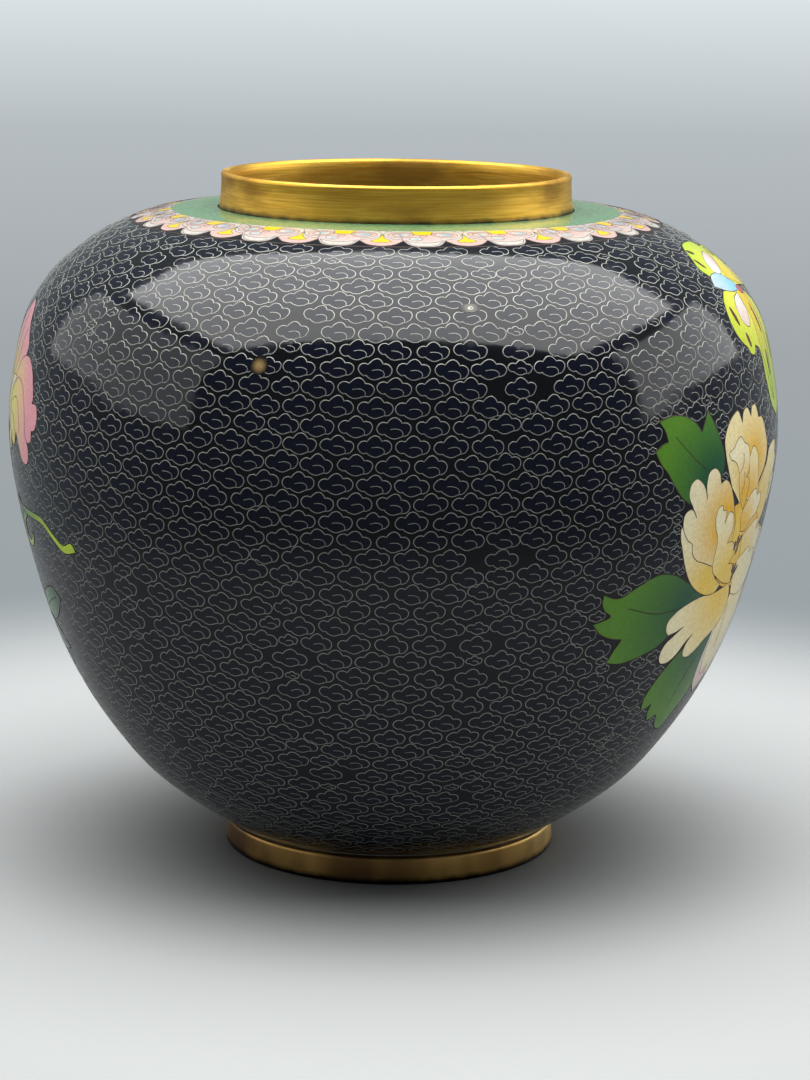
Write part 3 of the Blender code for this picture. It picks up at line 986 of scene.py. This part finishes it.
def lilac_peony_cells():
    """The side that the photo doesn't show: a lilac peony, a bud and leaves, all guessed."""
    colours = {"amber": "lilac", "gold": "lilac", "cream": "blush", "ivory": "white"}
    leaves = [leaf((-24, -4), 168, 34, 15), leaf((14, 24), 62, 26, 12)]
    bud = [petal((-66, 30), angle, 17, 14, "lilac", "white", 2) for angle in (-60, 60, 0)]
    bud += [leaf((-66, 30), -60, 16, 7, teeth=2), leaf((-66, 30), -130, 16, 7, teeth=2)]
    return leaves + bud + repainted(cream_peony_cells(), colours)


# Small blemishes: a chipped pit with a worn patch round it, and a rusty spot.
CHIP_CENTRE = (11.5, arc_at(184.4))
RUST_CENTRE = (-19.0, arc_at(168.4))


def chip_cells():
    return [
        cell(ellipse((0, 0), 3.4, 1.5, 5), (0, 0), "worn", "black"),
        cell([[(-0.8, -0.3), (-0.2, 0.5), (0.7, 0.4), (0.8, -0.3), (0, -0.5)]], (0, 0), "white", "white"),
        cell(ellipse((0.2, 0.0), 0.4, 0.25), (0, 0), "brown", "black"),
    ]


def rust_cells():
    return [
        cell(
            [[(-2.6, -1.6), (-2.2, 1.6), (0.2, 3.1), (2.6, 1.4), (2.1, -1.6), (-0.2, -2.6)]],
            (0, 0), "rust", "black",
        ),
    ]


# The cloud pattern -------------------------------------------------------------------------------

CLOUD_CURL = [(-0.9, -0.4), (0.3, -0.2), (1.5, -0.3), (2.3, -0.75), (2.6, -1.4), (2.4, -2.15)]
CLOUD_RIM = [
    [(2.4, -2.15), (1.5, -2.5), (0.7, -2.85), (-0.2, -2.95), (-1.4, -2.5), (-2.1, -2.05)],
    [(-2.4, -1.75), (-3.2, -1.85), (-4.2, -1.2), (-4.65, -0.2), (-4.2, 0.9), (-3.3, 1.5), (-2.4, 1.5)],
    [(-1.9, 1.3), (-1.5, 1.8), (-0.8, 2.5), (0.3, 2.95), (1.4, 2.5), (2.0, 1.7)],
    [(2.15, 1.4), (3.1, 1.5), (4.1, 1.1), (4.65, 0.2), (4.4, -1.05), (3.5, -2.0)],
]


def cloud_lines():
    """The wire of one cloud, and the loop that it fences, round its centre."""
    rim = closed_outline(CLOUD_RIM, 0.75)
    curl = smooth_curve(CLOUD_CURL, 0.75)
    return np.vstack([curl[:-1], rim, rim[:1]]), rim


def seam_shift(arc, seam):
    """How far a seam between gores has wandered sideways at an arc."""
    return SEAM_WANDER * math.sin(arc / 31 + seam * 2.1)


def cloud_places(last_arc, chance):
    """(azimuth in radians, arc, size) of every cloud.

    The clouds stand in gores of offset rows, with small ones where gores meet.
    """
    places = []
    rows = int((last_arc - LAST_ROW_MARGIN - FIRST_ROW_ARC) / CLOUD_ROW)
    spacing = (last_arc - LAST_ROW_MARGIN - FIRST_ROW_ARC) / rows
    for row in range(rows + 1):
        arc = FIRST_ROW_ARC + row * spacing
        radius = float(radius_at(arc))
        taken = []
        for gore in range(GORES):
            centre = radius * 2 * math.pi * gore / GORES
            half = radius * math.pi / GORES
            left = centre - half + seam_shift(arc, gore)
            right = centre + half + seam_shift(arc, (gore + 1) % GORES)
            shift = CLOUD_PITCH / 2 * (row % 2)
            first = math.ceil((left + CLOUD_WIDTH / 2 - centre - shift) / CLOUD_PITCH)
            last = math.floor((right - CLOUD_WIDTH / 2 - centre - shift) / CLOUD_PITCH)
            taken += [centre + shift + index * CLOUD_PITCH for index in range(first, last + 1)]
        taken.sort()
        around = 2 * math.pi * radius
        for here, there in zip(taken, [*taken[1:], taken[0] + around]):
            places.append((here / radius, arc, 1.0))
            spare = there - here - CLOUD_PITCH
            if spare > LEAST_SPARE:
                size = min(spare / CLOUD_WIDTH, 1.0)
                places.append(((here + there) / 2 / radius, arc + chance.uniform(-0.6, 0.6), size))
    return np.array(places)


def room_left(places, motifs):
    """How far each place is outside the nearest motif cell, negative inside one.

    Distances across are shortened, because a cloud is wider than it is high.
    """
    room = np.full(len(places), MOTIF_REACH)
    for centre, cells in motifs:
        turn = half_turn(places[:, 0] - math.radians(centre[0]))
        flat = np.stack([turn * radius_at(places[:, 1]), places[:, 1] - centre[1]], 1)
        near = np.abs(flat).max(1) < MOTIF_REACH
        if not near.any():
            continue
        for one in cells:
            outline = one["outline"]
            apart = (flat[near][:, None] - outline[None]) * (CLOUD_HEIGHT / CLOUD_WIDTH, 1.0)
            gaps = np.linalg.norm(apart, axis=2).min(1)
            gaps[inside(flat[near], outline)] *= -1
            room[near] = np.minimum(room[near], gaps)
    return room


def squeezed_in(places, motifs, last_arc):
    """The clouds, with smaller ones added in the gaps round each motif, the largest first.

    Each one goes to the spot with the most room, which lies clear of both bands.
    """
    for centre, cells in motifs:
        outlines = np.vstack([one["outline"] for one in cells])
        low, high = outlines.min(0) - CLOUD_WIDTH, outlines.max(0) + CLOUD_WIDTH
        columns = np.arange(low[0], high[0], SPOT_SPACING)
        x, y = np.meshgrid(columns, np.arange(low[1], high[1], SPOT_SPACING))
        arc = centre[1] + y.ravel()
        turn = math.radians(centre[0]) + x.ravel() / radius_at(arc)
        spots = np.column_stack([turn, arc])[(arc > 4.5) & (arc < last_arc - 2.5)]
        room = room_left(spots, motifs)
        least = SMALLEST_CLOUD * CLOUD_HEIGHT / 2
        spots, room = spots[room > least], room[room > least]
        radius = radius_at(spots[:, 1])

        def gap_to(place):
            """How far the spots are from one cloud's rim, with the same shortened distances."""
            across = half_turn(spots[:, 0] - place[0]) * radius * (CLOUD_HEIGHT / CLOUD_WIDTH)
            return np.hypot(across, spots[:, 1] - place[1]) - place[2] * CLOUD_HEIGHT / 2

        away = np.abs(half_turn(places[:, 0] - math.radians(centre[0]))) * radius_at(places[:, 1])
        close = away < np.abs([low[0], high[0]]).max() + CLOUD_WIDTH
        for place in places[close]:
            room = np.minimum(room, gap_to(place))
        while 2 * room.max() / CLOUD_HEIGHT > SMALLEST_CLOUD:
            best = room.argmax()
            added = np.array([*spots[best], min(2 * room[best] / CLOUD_HEIGHT, 1.0)])
            places = np.vstack([places, added])
            room = np.minimum(room, gap_to(added))
    return places


def cloud_ground(last_arc, motifs, wire, fill):
    """Every cloud's wire and its navy filling, in sectors."""
    chance = np.random.default_rng(7)
    places = cloud_places(last_arc, chance)
    room = room_left(places, motifs)
    share = np.clip(2 * room / CLOUD_HEIGHT, 0.0, 1.0)
    size = places[:, 2] * share
    keep = (share > 0.8) & (size > SMALLEST_CLOUD)
    places = squeezed_in(np.column_stack([places[keep, :2], size[keep]]), motifs, last_arc)
    size = places[:, 2]
    count = len(places)
    line, rim = cloud_lines()
    tilt = chance.normal(0.0, CLOUD_TILT, count)
    size = size * chance.normal(1.0, CLOUD_SIZE, count)
    stretch = chance.normal(1.0, CLOUD_STRETCH, count)
    nudge = chance.normal(0.0, CLOUD_NUDGE, (count, 2))
    wobble = chance.normal(0.0, 1.0, (count, 2)) * CLOUD_WOBBLE

    def laid(points, lift, offset=(0.0, 0.0)):
        """The flat points of one cloud, laid at every place, as (places, points, 3)."""
        x = points[:, 0] * (size * stretch)[:, None] + wobble[:, :1] * np.sin(points[:, 1] * 1.3)
        y = points[:, 1] * (size / stretch)[:, None] + wobble[:, 1:] * np.sin(points[:, 0] * 0.9)
        x, y = x + offset[0], y + offset[1]
        across = x * np.cos(tilt)[:, None] - y * np.sin(tilt)[:, None] + nudge[:, :1]
        along = x * np.sin(tilt)[:, None] + y * np.cos(tilt)[:, None] + nudge[:, 1:]
        arc = along + places[:, 1:2]
        return on_body(places[:, :1] + across / radius_at(arc), arc, lift)

    side = side_steps(line, CLOUD_WIRE).T
    edges = laid(line, -WIRE_RISE, -side), laid(line, -WIRE_RISE, side)
    wire_points = np.stack([edges[0], laid(line, WIRE_RISE), edges[1]], 1)
    wire_faces = strip_faces(3, len(line))
    fill_points = np.stack([laid(rim, 0.0), laid(rim * 0.5, 0.0), laid(rim * 0.0, 0.0)], 1)
    fill_faces = strip_faces(3, len(rim), closed_columns=True)[:, ::-1]
    sectors = ((places[:, 0] + math.pi) / (2 * math.pi) * SECTORS).astype(int) % SECTORS
    for sector in range(SECTORS):
        chosen = sectors == sector
        for name, rings, faces, material in (
            ("cloud_wires", wire_points, wire_faces, wire),
            ("cloud_cells", fill_points, fill_faces, fill),
        ):
            part = rings[chosen].reshape(-1, 3)
            stride = rings.shape[1] * rings.shape[2]
            starts = (np.arange(chosen.sum()) * stride)[:, None, None]
            all_faces = (faces[None] + starts).reshape(-1, 4)
            add_piece(f"{name}_{sector + 1}", part, all_faces, material)


# Bands, metal and inside -----------------------------------------------------------------------


def lappet_cells():
    """One scroll lappet and the small lobe at its right, which together fill one pitch."""
    return [
        cell([[(6, 3.8), (8.4, 1.4), (12, 0.5), (15.6, 1.4), (18, 3.8)],
              [(18, 3.8), (17, 9), (12, 13), (7, 9)]],
             (12, 9), "pearl", "shell"),
        cell([[(12, 9.5), (11, 5.4), (9.2, 3.4), (12, 2.6), (14.8, 3.4), (13, 5.4)]],
             (12, 6), "mustard", "mustard"),
        cell([[(-9, 13), (-11, 11.4), (-11.6, 8.6), (-9.6, 5.6), (-6.2, 4.6)],
              [(-6.2, 4.6), (-4, 1), (0, -0.1), (4, 1)],
              [(6.2, 4.6), (9.6, 5.6), (11.6, 8.6), (11, 11.4)], [(9, 13)]],
             (0, 8), "shell", "pearl"),
        cell([[(-5.4, 4.2), (-3.6, 1.4), (0, 0.4), (3.6, 1.4)], [(5.4, 4.2), (3, 2.9), (0, 2.5), (-3, 2.9)]],
             (0, 2), "pearl", "pearl"),
        cell(ellipse((-6.6, 8.8), 3.9, 2.8, 8), (-6.6, 8.8), "shell", "shell"),
        cell(ellipse((6.6, 8.8), 3.9, 2.8, -8), (6.6, 8.8), "shell", "shell"),
        cell(ellipse((-6.3, 8.8), 2.7, 1.7, 8), (-7.4, 8.8), "mist", "pearl"),
        cell(ellipse((6.3, 8.8), 2.7, 1.7, -8), (7.4, 8.8), "mist", "pearl"),
        cell(ellipse((-2.3, 5.3), 1.9, 1.3, -10), (-2.3, 5.3), "mist", "pearl"),
        cell([[(-3.6, 13)], [(-2.4, 9), (0, 8.5)], [(2.4, 9)], [(3.6, 13)]], (0, 11), "mustard", "mustard"),
        cell(ellipse((0, 7.5), 1.1, 0.8), (0, 7.5), "shell", "shell"),
    ]


def lappet_band(low, high, enamel_material, wire):
    """The band of lappets, with its wires."""
    cells = lappet_cells()
    middle = float(radius_at((low + high) / 2))
    scale = (high - low) / LAPPET_DRAWN_HEIGHT
    pitch = 2 * math.pi * middle / LAPPETS / LAPPET_DRAWN_WIDTH
    for one in cells:
        one["outline"] = one["outline"] * (pitch, scale)
        one["root"] = one["root"] * (pitch, scale)
    centres = [(index * 360 / LAPPETS + 6.0, low) for index in range(LAPPETS)]
    painted_sheet("lappet_band", cells, centres, enamel_material,
                  ("lappet_band_enamel",), middle, 1.6)
    ribbons("lappet_cell_wires", cell_wires(cells), centres, LAPPET_WIRE, wire, middle)


def border_wire(name, arc, replaced, wire):
    """A wire with sloping sides that runs all the way round."""
    section = [(-0.5, -0.10), (-0.3, 0.08), (0.3, 0.08), (0.5, -0.10)]
    profile = [outline_at(arc + share * BORDER_WIRE, lift) for share, lift in section]
    turned(name, profile, wire, replaced)


def band_profile(low, high, lift, step=2.0):
    arcs = np.linspace(low, high, int((high - low) / step) + 2)
    return np.stack(outline_at(arcs, lift), 1)


def collar_profile():
    """The collar's closed section, with a rolled lip, from its CAD box."""
    low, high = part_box("neck_collar")
    foot = high.x / MM
    top, seat = high.z / MM, low.z / MM
    lip = foot - 1.0
    bore = COLLAR_BORE
    outside = [
        (bore + 0.3, seat), (foot, seat), (foot, seat + 0.8), (lip + 0.45, seat + 4.0),
        (lip + 0.2, top - 4.0),
    ]
    rolled_lip = [
        (lip + 0.1, top - 1.8), (lip + 0.25, top - 1.2), (lip + 0.15, top - 0.5), (lip - 0.3, top - 0.1),
        (lip - 0.8, top), (bore + 0.9, top - 0.05), (bore + 0.35, top - 0.35), (bore + 0.05, top - 1.0),
    ]
    return [*outside, *rolled_lip, (bore, top - 3.0), (bore, seat + 3.0)]


def foot_profile():
    """The foot ring's closed section, from its CAD box."""
    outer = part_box("foot_ring")[1].x / MM
    inner = outer - FOOT_WALL
    bore = inner - LEDGE_REACH
    rim = outer - 1.6
    underside = [(inner, LEDGE_LOW), (inner, 0.5), (inner + 0.3, 0.1), (inner + 0.8, 0.0), (outer - 1.0, 0.0)]
    outside = [
        (outer - 0.4, 0.15), (outer - 0.1, 0.6), (outer, 1.4), (outer - 0.2, 4.5), (outer, 7.4),
        (outer - 0.1, 8.2), (outer - 0.5, 8.6),
    ]
    rebate = [(rim, FOOT_TOP), (rim, FOOT_RIM_TOP), (inner - 0.2, FOOT_RIM_TOP), (inner - 0.2, LEDGE_TOP)]
    return [*underside, *outside, *rebate, (bore, LEDGE_TOP), (bore, LEDGE_LOW)]


def interior_profile():
    """The inside face of the counter-enamel, from the collar down to the middle of the base."""
    wall = np.stack(outline_at(np.linspace(ARC[-1], 0.0, 110), -INTERIOR_DEPTH), 1)
    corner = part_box("foot_ring")[1].x / MM - FOOT_WALL - 1.0
    rounding = [(corner, INSIDE_FLOOR + 0.8), (corner - 1.0, INSIDE_FLOOR)]
    base = [(20, INSIDE_FLOOR), (AXIS_HOLE, INSIDE_FLOOR)]
    return [(COLLAR_BORE + 0.3, wall[0][1]), *wall, *rounding, *base]


def base_profile():
    """The glazed underside inside the ledge, a little hollow in the middle."""
    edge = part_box("base_enamel")[1].x / MM
    return [(AXIS_HOLE, 4.75), (20, 4.65), (edge - 5.0, 4.45), (edge - 0.6, 4.4), (edge, 4.6)]


# Stage -------------------------------------------------------------------------------------------


def floor_material():
    """Pale floor, painted darker close to the vase as a painted contact shadow. It fades into the plain
    backdrop away from it.

    In glossy reflections it is painted dimmer, a painted reflection which keeps the lower half of the vase
    dark.
    """
    n = Nodes(bpy.data.materials.new("floor_with_painted_shadow"))
    distance = n.add("ShaderNodeVectorMath", operation="LENGTH")
    n.link(n.place(), distance.inputs[0])
    fade = n.carried(distance.outputs["Value"], FLOOR_FADE, (1.0, 0.0), "SMOOTHSTEP")
    n.link(fade, n.shader.inputs["Alpha"])
    # Painted contact shadow: the floor's colour is darker close to the vase.
    clear = n.carried(distance.outputs["Value"], FLOOR_PAINTED_SHADOW, step="SMOOTHSTEP")
    direct = n.mix(clear, (0.17, 0.175, 0.17), (0.42, 0.43, 0.425))
    # Painted reflection: glossy rays see a darker floor colour than other rays do.
    path = n.add("ShaderNodeLightPath")
    n.link(n.mix(path.outputs["Is Glossy Ray"], direct, (0.17, 0.175, 0.18)), n.shader.inputs["Base Color"])
    n.shader.inputs["Roughness"].default_value = 0.9
    return n.owner


def floor():
    """A flat disc on z = 0, round the vase's axis."""
    mesh = bpy.data.meshes.new("floor")
    outline = ellipse((0, 0), FLOOR_RADIUS, FLOOR_RADIUS, count=96)
    mesh.from_pydata([(x, y, 0.0) for x, y in outline], [], [list(range(len(outline)))])
    mesh.materials.append(floor_material())
    piece = bpy.data.objects.new("floor", mesh)
    bpy.context.scene.collection.objects.link(piece)


def area_light(name, place, aim, size, power):
    """A rectangular soft box that the camera doesn't see."""
    light = bpy.data.lights.new(name, "AREA")
    light.shape = "RECTANGLE"
    light.size, light.size_y = size
    light.energy = power
    lamp = bpy.data.objects.new(name, light)
    lamp.location = place
    lamp.rotation_mode = "QUATERNION"
    lamp.rotation_quaternion = (Vector(aim) - Vector(place)).to_track_quat("-Z", "Y")
    lamp.visible_camera = False
    bpy.context.scene.collection.objects.link(lamp)


def lights():
    """A large soft box over the vase and a dimmer one at each side."""
    area_light("top_box", (0.10, -0.06, 1.2), (0.10, -0.06, 0.0), (2.6, 1.52), 46.0)
    area_light("left_box", (-2.2, 0.1, 0.95), (0.0, 0.0, 0.15), (3.0, 1.3), 10.5)
    area_light("right_box", (2.2, 0.4, 0.90), (0.0, 0.0, 0.15), (2.2, 1.1), 13.0)


def world():
    """A plain backdrop for the camera, pale at eye level and greyer below.

    For reflections it is dim in front and lighter behind the vase.
    """
    sky = bpy.data.worlds.new("studio")
    bpy.context.scene.world = sky
    n = Nodes(sky)
    n.tree.nodes.clear()
    parts = n.add("ShaderNodeSeparateXYZ")
    n.link(n.add("ShaderNodeTexCoord").outputs["Generated"], parts.inputs["Vector"])

    def backdrop(axis, limits, stops):
        """A background whose colour runs with one component of the direction."""
        background = n.add("ShaderNodeBackground")
        n.link(n.ramp(n.carried(parts.outputs[axis], limits), *stops), background.inputs["Color"])
        return background.outputs["Background"]

    seen = backdrop("Z", (-0.30, 0.0), (
        (0.0, (0.32, 0.35, 0.36)), (0.28, (0.33, 0.37, 0.39)), (0.55, (0.36, 0.39, 0.41)),
        (0.78, (0.47, 0.51, 0.54)), (1.0, (0.84, 0.90, 0.93)),
    ))
    felt = backdrop("Y", (-1.0, 1.0), ((0.25, (0.12, 0.13, 0.14)), (0.80, (0.27, 0.30, 0.32))))
    choose = n.add("ShaderNodeMixShader")
    n.link(n.add("ShaderNodeLightPath").outputs["Is Camera Ray"], choose.inputs["Fac"])
    n.link(felt, choose.inputs[1])
    n.link(seen, choose.inputs[2])
    n.link(choose.outputs["Shader"], n.add("ShaderNodeOutputWorld").inputs["Surface"])


def camera():
    """The photo's view: 0.93 m in front of the axis, above the rim, looking 12 degrees down."""
    lens = bpy.data.cameras.new("camera")
    lens.lens = 100.2
    lens.sensor_width = 36.0
    lens.clip_start, lens.clip_end = 0.05, 50.0
    eye = bpy.data.objects.new("camera", lens)
    bpy.context.scene.collection.objects.link(eye)
    bpy.context.scene.camera = eye
    bpy.context.scene.view_settings.view_transform = "Standard"
    eye.location = (0.0, -0.9342, 0.2883)
    pitch = math.radians(11.55)
    yaw = math.radians(0.245)
    roll = -0.01237
    eye.rotation_mode = "XYZ"
    level = math.cos(pitch)
    forward = Vector((math.sin(yaw) * level, math.cos(yaw) * level, -math.sin(pitch)))
    right = Vector((math.cos(yaw), -math.sin(yaw), 0.0))
    up = right.cross(forward)
    side = right * math.cos(roll) - up * math.sin(roll)
    top = right * math.sin(roll) + up * math.cos(roll)
    eye.rotation_euler = Matrix((side, top, -forward)).transposed().to_euler()


def keep_cad_pieces():
    """The copper shells and the base plate stay as the CAD made them, with a procedural copper."""
    copper = plain_copper()
    for name in ("copper_shoulder", "copper_bowl", "base_plate"):
        frame["nodes"][name].data.materials.clear()
        frame["nodes"][name].data.materials.append(copper)


def main():
    wire = wire_metal("cell_wire", (0.35, 0.35, 0.31), 0.40, 0.5)
    dark_wire = wire_metal("outline_wire", (0.030, 0.013, 0.008), 0.50, 0.2)
    painted = enamel("painted_enamel", None, (0.07, 0.16), 0.14, 0.12)
    ground = enamel("ground_enamel_black", PAINTS["black"], (0.05, 0.12), 0.5, 0.05)
    navy = enamel("cloud_enamel_navy", PAINTS["navy"], (0.05, 0.13), 0.5, 0.04)
    mint = enamel("mint_enamel", (0.16, 0.34, 0.16), (0.10, 0.20), 0.45, 0.35)
    turquoise = enamel("turquoise_enamel", (0.03, 0.30, 0.38), (0.12, 0.28), 0.4, 0.4)

    lappet_low = top_arc("ground_enamel") + BORDER_OFFSET
    lappet_high = top_arc("lappet_band_enamel") + BORDER_OFFSET
    motifs = [
        (CREAM_CENTRE, cream_peony_cells()),
        (BUTTERFLY_CENTRE, butterfly_cells()),
        (PINK_CENTRE, pink_peony_cells()),
        (LILAC_CENTRE, lilac_peony_cells()),
    ]
    turned("ground", band_profile(0.0, lappet_low + 0.6, -GROUND_SINK), ground, ("ground_enamel",))
    cloud_ground(lappet_low, motifs, wire, navy)
    names = (
        ("cream_peony", ("cream_peony_upper", "cream_peony_lower", "cream_peony_leaf_upper",
                         "cream_peony_leaf_middle", "cream_peony_leaf_lower"), "cream"),
        ("butterfly", ("butterfly_forewing", "butterfly_hindwing", "butterfly_body"), "lime"),
        ("pink_peony", ("pink_peony", "pink_peony_bud", "pink_peony_leaf", "pink_peony_tendril"), "pink"),
        ("lilac_peony", ("lilac_peony", "lilac_peony_bud", "lilac_peony_leaf_left",
                         "lilac_peony_leaf_right", "lilac_peony_leaf_lower"), "lilac"),
    )
    for (centre, cells), (name, replaced, slot) in zip(motifs, names):
        painted_sheet(name + "_enamels", cells, [centre], painted, replaced)
        ribbons(name + "_wires", cell_wires(cells), [centre], OUTLINE_WIRE, dark_wire)
    painted_sheet("chip", chip_cells(), [CHIP_CENTRE], painted, grid=0.8)
    painted_sheet("rust_spot", rust_cells(), [RUST_CENTRE], painted, grid=0.8)
    turned("lappet_bed", band_profile(lappet_low, lappet_high, -GROUND_SINK), ground)
    lappet_band(lappet_low, lappet_high, painted, dark_wire)
    turned("neck_band", band_profile(lappet_high, ARC[-1], 0.0), mint, ("neck_band_enamel",))
    border_wire("neck_border_wire", lappet_high, ("neck_wire",), wire)
    border_wire("lappet_border_wire", lappet_low, ("lappet_wire",), dark_wire)
    border_wire("foot_border_wire", 0.4, ("foot_wire",), wire)
    turned("collar", collar_profile(), collar_brass(), ("neck_collar",), closed=True)
    turned("foot", foot_profile(), foot_brass(), ("foot_ring",), closed=True)
    turned("inside", interior_profile(), turquoise, ("interior_enamel",))
    turned("underside", base_profile(), turquoise, ("base_enamel",))
    keep_cad_pieces()
    floor()
    lights()
    world()
    camera()


main()
